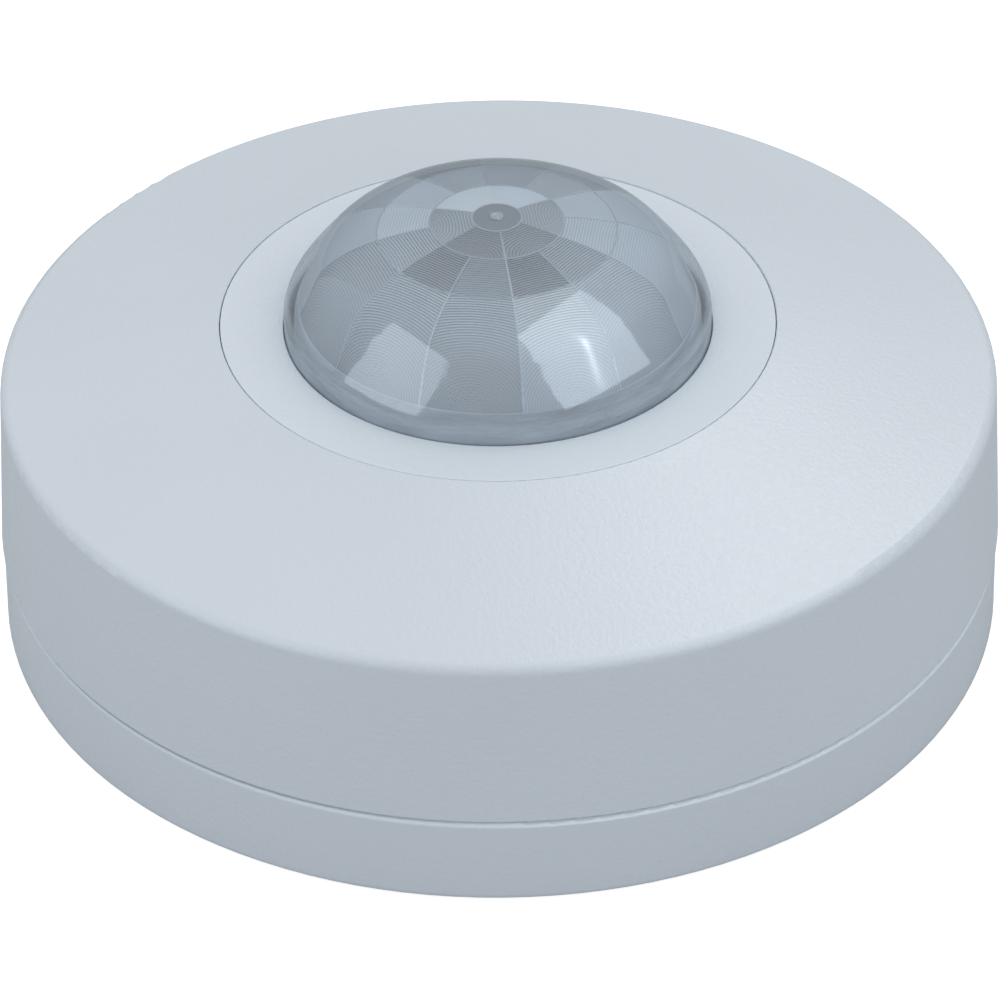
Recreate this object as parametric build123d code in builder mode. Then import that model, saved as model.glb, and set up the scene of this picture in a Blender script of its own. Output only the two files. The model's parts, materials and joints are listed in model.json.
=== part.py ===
from build123d import *
import math
import os

# Ceiling motion sensor: a round mounting base, a twist-lock sensor head that
# carries the electronics and the lens, and a push-on outer cover.
# Millimetres. The origin is the centre of the base's back face, +Z points out
# of the ceiling or wall towards the lens, -Y is the side with the adjusters.
#
# In names, _r is a radius, _ro and _ri an outer and inner radius, _t a thickness,
# _lo and _hi the rear and front Z of a piece. Angles are degrees from +X.

os.makedirs("parts", exist_ok=True)

# -------------------------------------------------------- shared dimensions
gap = 0.02              # clearance between touching pieces

# bayonet between base and head
ring_ro = 50.2
ring_ri = 48.2
ring_top = 16.0
lug_angles = (20.0, 110.0, 200.0, 290.0)
twist = 15.0            # locked to unlocked

# head housing
head_wall = 1.8
head_ro = 52.6
head_ri = head_ro - head_wall
head_lo = 8.2
plate_lo = 26.0
plate_hi = 28.0
neck_ro = 31.2
neck_ri = neck_ro - head_wall
neck_top = 34.6
ledge_lo = 31.2
ledge_hi = 32.8
ledge_ri = 26.0
hook_count = 3          # bezel hooks, through notches in the ledge
hook_start = 30

# lens flange, held between the ledge and the bezel
flange_r = 27.6
flange_lo = 32.8
flange_hi = 34.1

# circuit board
board_r = 49.0
board_lo = 19.4
board_hi = 21.0
under_board = board_lo - gap    # where pieces on the rear side end
on_board = board_hi + gap       # where pieces on the lens side start

# rear cover of the head
rear_wall = 1.6
rear_r = 47.5
rear_lo = 6.4
rear_hi = rear_lo + rear_wall
recess_depth = 2.6      # for the housing screw heads

# adjusters
knob_pitch_r = 43.2
knob_angles = {"light": -118.0, "time": -90.0, "range": -62.0}
shaft_r = 2.05
shaft_hole_r = 2.10


def finish(builder, label):
    """Names a finished piece and writes it to its own STEP file."""
    builder.part.label = label
    export_step(builder.part, f"parts/{label}.step")


def polar(radius, angle):
    return (radius * math.cos(math.radians(angle)), radius * math.sin(math.radians(angle)))


def polar_points(radius, angles):
    return [polar(radius, angle) for angle in angles]


def at_z(z):
    """Sketch plane at height z; extrudes towards +Z."""
    return Plane.XY.offset(z)


def at_y(y):
    """Sketch plane (X, Z) at y; a positive extrude runs towards -Y."""
    return Plane.XZ.offset(-y)


def at_x(x):
    """Sketch plane (Y, Z) at x; extrudes towards +X."""
    return Plane.YZ.offset(x)


def round_corners(sketch, *corners):
    """Fillets the vertex nearest each (x, y, radius), one after another."""
    for x, y, radius in corners:
        fillet(sketch.vertices().sort_by_distance((x, y))[0], radius)


def sector_outline(inner_r, outer_r, start, end):
    """Draws a ring sector in the current BuildLine."""
    middle = (start + end) / 2
    Line(polar(inner_r, start), polar(outer_r, start))
    ThreePointArc(polar(outer_r, start), polar(outer_r, middle), polar(outer_r, end))
    Line(polar(outer_r, end), polar(inner_r, end))
    ThreePointArc(polar(inner_r, end), polar(inner_r, middle), polar(inner_r, start))


# three long screws hold the head together, two short ones hold the board
post_points = polar_points(41.0, (90.0, 210.0, 330.0))
board_screw_points = polar_points(38.0, (30.0, 150.0))
knob_points = polar_points(knob_pitch_r, knob_angles.values())
pin_points = polar_points(2.54, (-90.0, 0.0, 180.0))    # pyroelectric sensor

# ------------------------------------------------------------- mounting base
base_foot_r = 57.5      # outer wall at the back face
base_r = 57.3           # outer wall at its top
base_h = 10.2
base_inner_r = base_r - 2.0
floor_t = 2.4
spigot_ro = 54.9        # upstand that locates the cover skirt
spigot_ri = 53.6
spigot_top = 12.6
cable_r = 18.0          # central cable opening
collar_ro = cable_r + 1.6
collar_top = 5.0
slot_pitch = 60.0       # fixing slots, box standard
slot_lo = 8.6           # bayonet slots
slot_half_angle = 3.4
gate_h = 6.8
knockout_h = 4.6

with BuildPart() as mounting_base:
    # floor, outer wall, cover spigot, ring and collar as one revolved section
    with BuildSketch(Plane.XZ) as profile:
        with BuildLine():
            Polyline(
                (cable_r, 0), (base_foot_r - 0.08, 0), (base_foot_r, 0.08),
                (base_r, base_h), (spigot_ro, base_h),
                (spigot_ro, spigot_top), (spigot_ri, spigot_top),
                (spigot_ri, base_h - 1.6), (base_inner_r, base_h - 3.2),
                (base_inner_r, floor_t), (ring_ro, floor_t),
                (ring_ro, ring_top), (ring_ri, ring_top),
                (ring_ri, floor_t), (collar_ro, floor_t),
                (collar_ro, collar_top), (cable_r, collar_top),
                close=True,
            )
        make_face()
        round_corners(
            profile,
            (base_r, base_h, 0.5), (spigot_ro, spigot_top, 0.4),
            (ring_ri, floor_t, 0.8), (ring_ro, ring_top, 0.4),
        )
    revolve(axis=Axis.Z)
    # stiffening ribs between the cable collar and the bayonet ring
    with BuildSketch(at_z(floor_t - 0.2)):
        with PolarLocations(34.0, 8, start_angle=22.5):
            Rectangle(29.2, 1.2)
    extrude(amount=1.6)
    # two fixing slots
    with BuildSketch(Plane.XY):
        with Locations((-slot_pitch / 2, 0), (slot_pitch / 2, 0)):
            SlotOverall(10.0, 4.5)
    extrude(amount=floor_t, mode=Mode.SUBTRACT)
    # bayonet slots: a closed run to the locked position, then the open entry
    for angle in lug_angles:
        for centre, height in ((angle, 2.8), (angle + twist, ring_top)):
            with BuildSketch(at_z(slot_lo)):
                with BuildLine():
                    sector_outline(
                        ring_ri - 1, ring_ro + 0.5,
                        centre - slot_half_angle, angle + twist + slot_half_angle,
                    )
                make_face()
            extrude(amount=height, mode=Mode.SUBTRACT)
    # on the +Y side, a cable gate through the bayonet ring
    with BuildSketch(at_y(45.0)):
        with Locations((0, floor_t + gate_h / 2)):
            Rectangle(14.0, gate_h)
    extrude(amount=-7.0, mode=Mode.SUBTRACT)
    # and a knock-out, thinned from inside the outer wall
    with BuildSketch(at_y(54.8)):
        with Locations((0, floor_t + knockout_h / 2)):
            Rectangle(12.0, knockout_h)
    extrude(amount=-1.7, mode=Mode.SUBTRACT)
finish(mounting_base, "mounting_base")

# --------------------------------------------------------------- outer cover
cover_foot_r = 57.5
cover_lo = 10.5
shoulder_r = 56.36      # corner of side and top before rounding
shoulder_z = 30.45
hole_r = 31.4
hole_z = 36.65
cover_t = 2.0
cover_collar_r = hole_r + 1.5
cover_collar_lo = hole_z - cover_t - 4.6
top_slope = (hole_z - shoulder_z) / (shoulder_r - hole_r)
inner_shoulder_r = shoulder_r - 2.2

with BuildPart() as outer_cover:
    with BuildSketch(Plane.XZ) as profile:
        with BuildLine():
            Polyline(
                (cover_foot_r, cover_lo),
                (shoulder_r, shoulder_z),
                (hole_r, hole_z),
                (hole_r, cover_collar_lo),
                (cover_collar_r, cover_collar_lo),
                (cover_collar_r, hole_z - cover_t - 1.5 * top_slope),
                (inner_shoulder_r, shoulder_z - cover_t + 0.2 * top_slope),
                (cover_foot_r - 2.1, cover_lo),
                close=True,
            )
        make_face()
        round_corners(
            profile,
            (shoulder_r, shoulder_z, 1.35), (hole_r, hole_z, 0.12),
            (cover_foot_r, cover_lo, 0.25), (inner_shoulder_r, shoulder_z - cover_t, 1.0),
        )
    revolve(axis=Axis.Z)
    # four drive ribs inside the skirt, which turn the head with the cover
    with BuildSketch(at_z(13.2)):
        with PolarLocations(54.25, 4, start_angle=45):
            Rectangle(2.5, 2.0)
    extrude(amount=14.0)
    # twelve short stiffening webs under the top, clear of the head
    with BuildSketch(at_z(29.2)):
        with PolarLocations(36.3, 12, start_angle=15):
            Rectangle(7.6, 1.2)
    extrude(amount=5.1)
finish(outer_cover, "outer_cover")

# -------------------------------------------------------------- head housing
lug_half_angle = 3.0
seat_depth = 0.9        # adjuster seats, sunk in the plate

with BuildPart() as head_housing:
    with BuildSketch(Plane.XZ) as profile:
        with BuildLine():
            Polyline(
                (head_ro, head_lo), (head_ro, plate_hi), (neck_ro, plate_hi),
                (neck_ro, neck_top), (neck_ri, neck_top),
                (neck_ri, ledge_hi), (ledge_ri, ledge_hi),
                (ledge_ri, ledge_lo), (neck_ri, ledge_lo),
                (neck_ri, plate_lo), (head_ri, plate_lo), (head_ri, head_lo),
                close=True,
            )
        make_face()
        round_corners(
            profile,
            (head_ro, plate_hi, 1.2), (neck_ro, plate_hi, 0.6), (neck_ro, neck_top, 0.3),
        )
    revolve(axis=Axis.Z)
    # guide rib pairs that take the cover's drive ribs
    with BuildSketch(at_z(13.4)):
        with PolarLocations(0, 4, start_angle=45):
            with Locations((53.0, 1.9), (53.0, -1.9)):
                Rectangle(1.5, 1.4)
    extrude(amount=11.6)
    # four bayonet lugs inside the skirt
    with BuildSketch(at_z(8.9)):
        for angle in lug_angles:
            with BuildLine():
                sector_outline(
                    ring_ri + 0.4, head_ri + 0.3,
                    angle - lug_half_angle, angle + lug_half_angle,
                )
            make_face()
    extrude(amount=2.1)
    # screw bosses down to the circuit board, and their pilot holes
    with BuildSketch(at_z(board_hi)):
        with Locations(post_points):
            Circle(3.4)
        with Locations(board_screw_points):
            Circle(2.8)
    extrude(amount=plate_lo - board_hi + 0.5)
    for points, hole_radius, depth in (
        (post_points, 1.30, 5.6),
        (board_screw_points, 1.05, 5.2),
    ):
        with BuildSketch(at_z(board_hi)):
            with Locations(points):
                Circle(hole_radius)
        extrude(amount=depth, mode=Mode.SUBTRACT)
    # adjuster seats: a sunk round pocket and a shaft hole each
    with BuildSketch(at_z(plate_hi - seat_depth)):
        with Locations(knob_points):
            Circle(4.6)
    extrude(amount=seat_depth, mode=Mode.SUBTRACT)
    with BuildSketch(at_z(plate_lo - 0.1)):
        with Locations(knob_points):
            Circle(shaft_hole_r)
    extrude(amount=3.0, mode=Mode.SUBTRACT)
    # notches in the lens ledge for the bezel's hooks
    with BuildSketch(at_z(ledge_lo - 0.1)):
        with PolarLocations(28.55, hook_count, start_angle=hook_start):
            Rectangle(1.9, 5.0)
    extrude(amount=ledge_hi - ledge_lo + 0.2, mode=Mode.SUBTRACT)
    # crush ribs on the neck that grip the cover's collar
    with BuildSketch(at_z(29.4)):
        with PolarLocations(neck_ro - 0.08, 6):
            Rectangle(0.4, 0.8)
    extrude(amount=4.6)
finish(head_housing, "head_housing")

# ---------------------------------------------------------------- bezel ring
bezel_ro = 31.3
bezel_ri = 24.2
bezel_lo = 34.7         # underside of the outer lip
bezel_top = 36.6
bezel_inner_top = bezel_top - 0.5   # the top dishes inwards
skirt_lo = 33.2
skirt_ri = 27.9
skirt_ro = 29.3
hook_lo = 30.2
hook_width = 4.4

with BuildPart() as bezel_ring:
    with BuildSketch(Plane.XZ) as profile:
        with BuildLine():
            Polyline(
                (bezel_ri, flange_hi + gap), (skirt_ri, flange_hi + gap),
                (skirt_ri, skirt_lo), (skirt_ro, skirt_lo), (skirt_ro, bezel_lo),
                (bezel_ro, bezel_lo), (bezel_ro, bezel_top),
                (bezel_ri, bezel_inner_top),
                close=True,
            )
        make_face()
        round_corners(
            profile, (bezel_ro, bezel_top, 0.15), (bezel_ri, bezel_inner_top, 0.12)
        )
    revolve(axis=Axis.Z)
    # three hooks that pass through the ledge and clip under it: stem, then tooth
    for centre_r, thickness, height in ((28.6, 1.3, 3.4), (27.7, 1.4, 0.9)):
        with BuildSketch(at_z(hook_lo)):
            with PolarLocations(centre_r, hook_count, start_angle=hook_start):
                Rectangle(thickness, hook_width)
        extrude(amount=height)
finish(bezel_ring, "bezel_ring")

# ----------------------------------------------------------------- lens dome
lens_top = 50.2
lens_t = 1.0
lens_band_r = 24.1
# dome profiles as (radius, height), from beside the top to the rim
lens_outer_pts = [
    (7.5, 49.5), (13.6, 48.25), (16.8, 46.98), (19.15, 45.4), (20.7, 43.6),
    (22.25, 41.6), (23.45, 39.8), (24.06, 38.1), (24.1, 36.9),
]
lens_inner_pts = [
    (7.35, 48.51), (13.34, 47.28), (16.37, 46.08), (18.48, 44.66), (19.92, 43.0),
    (21.42, 41.03), (22.56, 39.34), (23.08, 37.9), (23.1, 36.7),
]
with BuildPart() as fresnel_lens:
    with BuildSketch(Plane.XZ):
        with BuildLine():
            outer = Spline([(0, lens_top)] + lens_outer_pts, tangents=[(1, 0), (0, -1)])
            inner = Spline(
                [(0, lens_top - lens_t)] + lens_inner_pts, tangents=[(1, 0), (0, -1)]
            )
            Line((0, lens_top), (0, lens_top - lens_t))
            Polyline(
                outer @ 1, (lens_band_r, flange_hi), (flange_r, flange_hi),
                (flange_r, flange_lo), (lens_band_r - lens_t, flange_lo), inner @ 1,
            )
        make_face()
    revolve(axis=Axis.Z)
finish(fresnel_lens, "fresnel_lens")

# ------------------------------------------------------------- circuit board
with BuildPart() as circuit_board:
    with BuildSketch(at_z(board_lo)):
        Circle(board_r)
        # key notches in the edge, then post, screw and pin holes
        for points, hole_radius in (
            ([(0, -board_r), (board_r, 0)], 1.6),
            (post_points, 1.7),
            (board_screw_points, 1.25),
            (pin_points, 0.40),
        ):
            with Locations(points):
                Circle(hole_radius, mode=Mode.SUBTRACT)
        # isolation slot between the mains side and the low-voltage side
        with Locations((-22.0, 12.5)):
            SlotOverall(14.0, 1.4, mode=Mode.SUBTRACT)
    extrude(amount=board_hi - board_lo)
finish(circuit_board, "circuit_board")

# ---------------------------------------------------------------- rear cover
rear_rim = 18.9
overlap = 0.4           # depth by which raised shapes sink into the floor
well_width = 26.0       # terminal well
well_y0 = -12.0
well_y1 = 13.0
well_mid = (well_y0 + well_y1) / 2
well_length = well_y1 - well_y0
well_wall = 1.4
well_top = 17.4         # outside of the roof
well_ceiling = 16.0     # inside of the roof
opening_y0 = 1.4        # from here to well_y1 the roof is open

with BuildPart() as rear_cover:
    with BuildSketch(Plane.XZ) as profile:
        with BuildLine():
            Polyline(
                (0, rear_lo), (rear_r, rear_lo), (rear_r, rear_rim),
                (rear_r - rear_wall, rear_rim), (rear_r - rear_wall, rear_hi),
                (0, rear_hi),
                close=True,
            )
        make_face()
        round_corners(profile, (rear_r, rear_lo, 1.0))
    revolve(axis=Axis.Z)
    # screw pillars up to the circuit board
    with BuildSketch(at_z(rear_hi - overlap)):
        with Locations(post_points):
            Circle(3.9)
    extrude(amount=board_lo - 0.05 - rear_hi + overlap)
    # walls and roof of the terminal well
    with BuildSketch(at_z(rear_hi - overlap)):
        with Locations((0, well_mid)):
            Rectangle(well_width + 2 * well_wall, well_length + 2 * well_wall)
    extrude(amount=well_top - rear_hi + overlap)
    with BuildSketch(at_z(rear_lo)):
        with Locations((0, well_mid)):
            RectangleRounded(well_width, well_length, 1.0)
    extrude(amount=well_ceiling - rear_lo, mode=Mode.SUBTRACT)
    with BuildSketch(at_z(rear_lo)):
        with Locations((0, (opening_y0 + well_y1) / 2)):
            Rectangle(well_width, well_y1 - opening_y0)
    extrude(amount=12.0, mode=Mode.SUBTRACT)
    # screw head recesses, open to the rear, and screw holes
    for hole_radius, depth in ((2.9, recess_depth), (1.7, 14.0)):
        with BuildSketch(at_z(rear_lo)):
            with Locations(post_points):
                Circle(hole_radius)
        extrude(amount=depth, mode=Mode.SUBTRACT)
    # vent slots, three on each side of the well
    with BuildSketch(at_z(rear_lo)):
        with Locations([(x, y) for x in (-28.0, 26.0) for y in (0, 4.0, -4.0)]):
            SlotOverall(12.0, 1.5)
    extrude(amount=rear_wall, mode=Mode.SUBTRACT)
finish(rear_cover, "rear_cover")


# -------------------------------------------------------------------- screws
def cross_screws(label, points, head_lo, head_hi, head_r, shank_lo, shank_length,
                 shank_r, tip_chamfer, cross_length, cross_width, cross_depth):
    """One piece with a cross-slotted screw at each point, its tip towards +Z."""
    with BuildPart() as screws:
        with BuildSketch(at_z(head_lo)):
            with Locations(points):
                Circle(head_r)
        extrude(amount=head_hi - head_lo)
        with BuildSketch(at_z(shank_lo)):
            with Locations(points):
                Circle(shank_r)
        extrude(amount=shank_length)
        tips = screws.edges().filter_by(GeomType.CIRCLE).group_by(Axis.Z)[-1]
        chamfer(tips, tip_chamfer)
        with BuildSketch(at_z(head_lo)):
            with Locations(points):
                Rectangle(cross_length, cross_width)
                Rectangle(cross_width, cross_length)
        extrude(amount=cross_depth, mode=Mode.SUBTRACT)
    finish(screws, label)


cross_screws(
    "housing_screws", post_points,
    head_lo=7.2, head_hi=rear_lo + recess_depth - gap, head_r=2.65,
    shank_lo=8.9, shank_length=16.6, shank_r=1.22, tip_chamfer=0.5,
    cross_length=2.8, cross_width=0.7, cross_depth=1.1,
)
cross_screws(
    "board_screws", board_screw_points,
    head_lo=17.7, head_hi=under_board, head_r=2.2,
    shank_lo=19.3, shank_length=5.8, shank_r=0.98, tip_chamfer=0.4,
    cross_length=2.4, cross_width=0.6, cross_depth=1.0,
)

# ------------------------------------------------------------- sensor holder
holder_foot_r = 6.6
holder_r = 5.8
holder_rim_ri = 4.75
holder_seat = 30.2      # where the pyroelectric sensor stands
holder_top = 31.4

with BuildPart() as sensor_holder:
    with BuildSketch(Plane.XZ):
        with BuildLine():
            Polyline(
                (0, on_board), (holder_foot_r, on_board), (holder_foot_r, 22.2),
                (holder_r, 23.0), (holder_r, holder_top), (holder_rim_ri, holder_top),
                (holder_rim_ri, holder_seat), (0, holder_seat),
                close=True,
            )
        make_face()
    revolve(axis=Axis.Z)
    with BuildSketch(at_z(board_hi)):
        with Locations(pin_points):
            Circle(0.40)
    extrude(amount=10.0, mode=Mode.SUBTRACT)
finish(sensor_holder, "sensor_holder")

# -------------------------------------------------- pyroelectric sensor, TO-5
can_lo = holder_seat + gap
can_top = 34.4
can_ro = 4.15
can_ri = 3.8
can_rim_r = 4.6
can_rim_top = 30.7
can_ceiling = can_top - (can_ro - can_ri)

with BuildPart() as pyro_can:
    with BuildSketch(Plane.XZ) as profile:
        with BuildLine():
            Polyline(
                (can_ri, can_lo), (can_rim_r, can_lo), (can_rim_r, can_rim_top),
                (can_ro, can_rim_top), (can_ro, can_top), (0, can_top),
                (0, can_ceiling), (can_ri, can_ceiling),
                close=True,
            )
        make_face()
        round_corners(profile, (can_ro, can_top, 0.35))
    revolve(axis=Axis.Z)
    # window opening in the top
    with BuildSketch(at_z(33.5)):
        Rectangle(5.2, 4.2)
    extrude(amount=2.0, mode=Mode.SUBTRACT)
finish(pyro_can, "pyro_can")

with BuildPart() as pyro_window:
    with BuildSketch(at_z(33.6)) as pane:
        Rectangle(5.8, 4.7)
        fillet(pane.vertices(), 0.5)
    extrude(amount=0.43)
finish(pyro_window, "pyro_window")

with BuildPart() as pyro_header:
    with BuildSketch(at_z(can_lo + gap)):
        Circle(3.75)
        with Locations(pin_points):
            Circle(0.27, mode=Mode.SUBTRACT)
    extrude(amount=0.9)
finish(pyro_header, "pyro_header")

with BuildPart() as pyro_pins:
    with BuildSketch(at_z(18.4)):
        with Locations(pin_points):
            Circle(0.23)
    extrude(amount=13.2)
finish(pyro_pins, "pyro_pins")

# two sensing strips on a ceramic carrier, held over the header by the pins
with BuildPart() as pyro_element:
    with BuildSketch(at_z(31.7)):
        Rectangle(5.4, 3.0)
    extrude(amount=0.5)
    with BuildSketch(at_z(32.1)):
        with Locations((-1.0, 0), (1.0, 0)):
            Rectangle(1.0, 2.0)
    extrude(amount=0.3)
finish(pyro_element, "pyro_element")

# -------------------------------------------------------------- light sensor
light_x = -14.0
light_y = -7.0
light_lead_x = 1.7      # each lead's distance from the centre

with BuildPart() as light_sensor:
    # disc with two flats
    with BuildSketch(at_z(27.0)):
        with Locations((light_x, light_y)):
            Circle(2.55)
            with Locations((0, 3.2), (0, -3.2)):
                Rectangle(6.0, 2.2, mode=Mode.SUBTRACT)
    extrude(amount=2.0)
    with BuildSketch(at_z(on_board)):
        with Locations((light_x - light_lead_x, light_y), (light_x + light_lead_x, light_y)):
            Circle(0.25)
    extrude(amount=6.2)
    # four track bars on the face
    with BuildSketch(at_z(28.9)):
        with Locations((light_x, light_y)):
            with GridLocations(0, 0.8, 1, 4):
                Rectangle(3.4, 0.3)
    extrude(amount=0.15)
finish(light_sensor, "light_sensor")

# ---------------------------------------------------------------- status LED
led_x = 14.0
led_y = -7.0
led_r = 1.5
led_rim_r = 1.9
led_lo = 26.0
led_rim_top = 26.9
led_dome_z = 29.3       # centre of the domed tip
led_lead_x = 1.27

with BuildPart() as status_led:
    with BuildSketch(at_y(led_y)):
        with BuildLine():
            Polyline(
                (led_x, led_lo), (led_x + led_rim_r, led_lo),
                (led_x + led_rim_r, led_rim_top), (led_x + led_r, led_rim_top),
                (led_x + led_r, led_dome_z),
            )
            RadiusArc((led_x + led_r, led_dome_z), (led_x, led_dome_z + led_r), -led_r)
            Line((led_x, led_dome_z + led_r), (led_x, led_lo))
        make_face()
    revolve(axis=Axis((led_x, led_y, 0), (0, 0, 1)))
    with BuildSketch(at_z(on_board)):
        with Locations((led_x - led_lead_x, led_y), (led_x + led_lead_x, led_y)):
            Rectangle(0.5, 0.5)
    extrude(amount=5.2)
finish(status_led, "status_led")

# -------------------------------------------------------------- control chip
chip_x = 0.0
chip_y = 14.0
# gull-wing leads, feet then shoulders: bottom, row spacing, length, height
chip_leads = (
    (on_board, 5.4, 0.8, 0.9),
    (board_hi + 0.7, 4.6, 1.4, 0.25),
)
with BuildPart() as control_chip:
    with BuildSketch(at_z(board_hi + 0.25)):
        with Locations((chip_x, chip_y)):
            Rectangle(9.9, 3.9)
    extrude(amount=1.5)
    chamfer(control_chip.edges().group_by(Axis.Z)[-1], 0.25)
    for lead_lo, row_spacing, length, height in chip_leads:
        with BuildSketch(at_z(lead_lo)):
            with Locations((chip_x, chip_y)):
                with GridLocations(1.27, row_spacing, 7, 2):
                    Rectangle(0.45, length)
        extrude(amount=height)
    # round dimple in one corner of the top
    with BuildSketch(at_z(board_hi + 1.6)):
        with Locations((chip_x - 4.0, chip_y - 1.1)):
            Circle(0.4)
    extrude(amount=0.3, mode=Mode.SUBTRACT)
finish(control_chip, "control_chip")

# --------------------------------------------------------------------- relay
# The relay hangs under the board: its base is on the board side and its case
# points to the rear. The armature stands at the -X end of yoke and core.
relay_x = -28.0
relay_y = 0.0
case_lo = 9.2
coil_z = 14.6
yoke_lo = 10.6
yoke_top = 17.5
yoke_inner_z = 11.6     # front of the yoke's long leg
yoke_width = 6.8
armature_width = 6.4
spring_width = 1.4

with BuildPart() as relay_base:
    with BuildSketch(at_z(17.6)):
        with Locations((relay_x, relay_y)):
            Rectangle(18.4, 8.4)
    extrude(amount=1.4)
    with BuildSketch(at_z(18.98)):
        with Locations((relay_x, relay_y)):
            with GridLocations(16.0, 6.0, 2, 2):
                Rectangle(0.9, 0.5)
    extrude(amount=under_board - 18.98)
finish(relay_base, "relay_base")

with BuildPart() as relay_case:
    with BuildSketch(at_z(case_lo)):
        with Locations((relay_x, relay_y)):
            Rectangle(20.0, 10.0)
    extrude(amount=18.9 - case_lo)
    fillet(relay_case.edges().filter_by(Axis.Z), 0.6)
    chamfer(relay_case.faces().sort_by(Axis.Z)[0].edges(), 0.3)
    with BuildSketch(at_z(case_lo + 0.7)):
        with Locations((relay_x, relay_y)):
            Rectangle(18.6, 8.6)
    extrude(amount=12.0, mode=Mode.SUBTRACT)
finish(relay_case, "relay_case")

with BuildPart() as relay_coil:
    # bobbin flanges, then winding and core, lying along X
    for offset in (-5.5, 5.0):
        with BuildSketch(at_x(relay_x + offset)):
            with Locations((relay_y, coil_z)):
                Rectangle(7.0, 5.6)
        extrude(amount=0.8)
    for offset, radius, length in ((-5.2, 2.6, 10.6), (-6.2, 1.3, 1.2)):
        with BuildSketch(at_x(relay_x + offset)):
            with Locations((relay_y, coil_z)):
                Circle(radius)
        extrude(amount=length)
finish(relay_coil, "relay_coil")

with BuildPart() as relay_yoke:
    # an L of soft iron: to the rear of the winding, and up its +X end
    with BuildSketch(at_y(relay_y + yoke_width / 2)):
        with BuildLine():
            Polyline(
                (relay_x + 7.2, yoke_top), (relay_x + 6.0, yoke_top),
                (relay_x + 6.0, yoke_inner_z), (relay_x - 6.85, yoke_inner_z),
                (relay_x - 6.85, yoke_lo), (relay_x + 7.2, yoke_lo),
                close=True,
            )
        make_face()
    extrude(amount=yoke_width)
finish(relay_yoke, "relay_yoke")

# hinged plate facing the core, then its contact spring:
# width along Y, near and far X from the relay centre, bottom and top Z
armature_strips = (
    (armature_width, -7.6, -6.9, yoke_lo, 16.2),
    (spring_width, -7.9, -7.55, 11.2, 17.3),
)
with BuildPart() as relay_armature:
    for width, x0, x1, bottom, top in armature_strips:
        with BuildSketch(at_y(relay_y + width / 2)):
            with BuildLine():
                Polyline(
                    (relay_x + x0, bottom), (relay_x + x1, bottom),
                    (relay_x + x1, top), (relay_x + x0, top),
                    close=True,
                )
            make_face()
        extrude(amount=width)
finish(relay_armature, "relay_armature")

with BuildPart() as relay_contacts:
    # fixed contact blades either side of the moving spring's tip
    with BuildSketch(at_z(16.5)):
        with Locations((relay_x - 8.75, relay_y), (relay_x - 6.5, relay_y)):
            Rectangle(0.4, 2.4)
    extrude(amount=1.08)
    with BuildSketch(at_x(relay_x - 8.6)):
        with Locations((relay_y, 17.0)):
            Circle(0.45)
    extrude(amount=0.65)
finish(relay_contacts, "relay_contacts")

# ------------------------------------------------------------ film capacitor
film_x = 26.0
film_lead_x = 7.5

with BuildPart() as film_capacitor:
    with BuildSketch(at_z(10.6)):
        with Locations((film_x, 0)):
            Rectangle(18.0, 14.0)
    extrude(amount=8.5)
    fillet(film_capacitor.edges(), 0.5)
    with BuildSketch(at_z(18.9)):
        with Locations((film_x - film_lead_x, 0), (film_x + film_lead_x, 0)):
            Circle(0.4)
    extrude(amount=under_board - 18.9)
finish(film_capacitor, "film_capacitor")

# ---------------------------------------------------- electrolytic capacitors
electrolytic_y = -23.0
# axis x, radius, bottom, groove centre z, groove depth, groove half width, rounding
electrolytic_cans = (
    (-9.0, 4.0, 9.1, 17.4, 0.35, 0.4, 0.6),
    (4.0, 3.15, 10.4, 17.55, 0.3, 0.35, 0.5),
)
with BuildPart() as electrolytic_capacitors:
    for x, radius, bottom, groove_z, depth, half_width, rounding in electrolytic_cans:
        side = x + radius
        with BuildSketch(at_y(electrolytic_y)) as profile:
            with BuildLine():
                Polyline(
                    (x, bottom), (side, bottom), (side, groove_z - half_width),
                    (side - depth, groove_z), (side, groove_z + half_width),
                    (side, under_board), (x, under_board),
                    close=True,
                )
            make_face()
            round_corners(profile, (side, bottom, rounding))
        revolve(axis=Axis((x, electrolytic_y, 0), (0, 0, 1)))
finish(electrolytic_capacitors, "electrolytic_capacitors")

# --------------------------------------------------------- fuse and varistor
fuse_x = 17.0
fuse_y = -21.0
fuse_lead_x = 2.54

with BuildPart() as fuse:
    with BuildSketch(at_z(10.9)):
        with Locations((fuse_x, fuse_y)):
            Circle(4.2)
    extrude(amount=8.0)
    fillet(fuse.edges().group_by(Axis.Z)[0], 0.5)
    with BuildSketch(at_z(18.8)):
        with Locations((fuse_x - fuse_lead_x, fuse_y), (fuse_x + fuse_lead_x, fuse_y)):
            Circle(0.3)
    extrude(amount=under_board - 18.8)
finish(fuse, "fuse")

varistor_x = 28.1
varistor_y = -14.0
varistor_t = 3.8
varistor_lead_y = 2.5

with BuildPart() as varistor:
    # disc standing on edge, its axis along X
    with BuildSketch(at_x(varistor_x - varistor_t / 2)):
        with Locations((varistor_y, 14.0)):
            Circle(4.5)
    extrude(amount=varistor_t)
    fillet(varistor.edges(), 1.2)
    with BuildSketch(at_z(17.6)):
        with Locations(
            (varistor_x, varistor_y - varistor_lead_y),
            (varistor_x, varistor_y + varistor_lead_y),
        ):
            Circle(0.35)
    extrude(amount=under_board - 17.6)
finish(varistor, "varistor")


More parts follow.
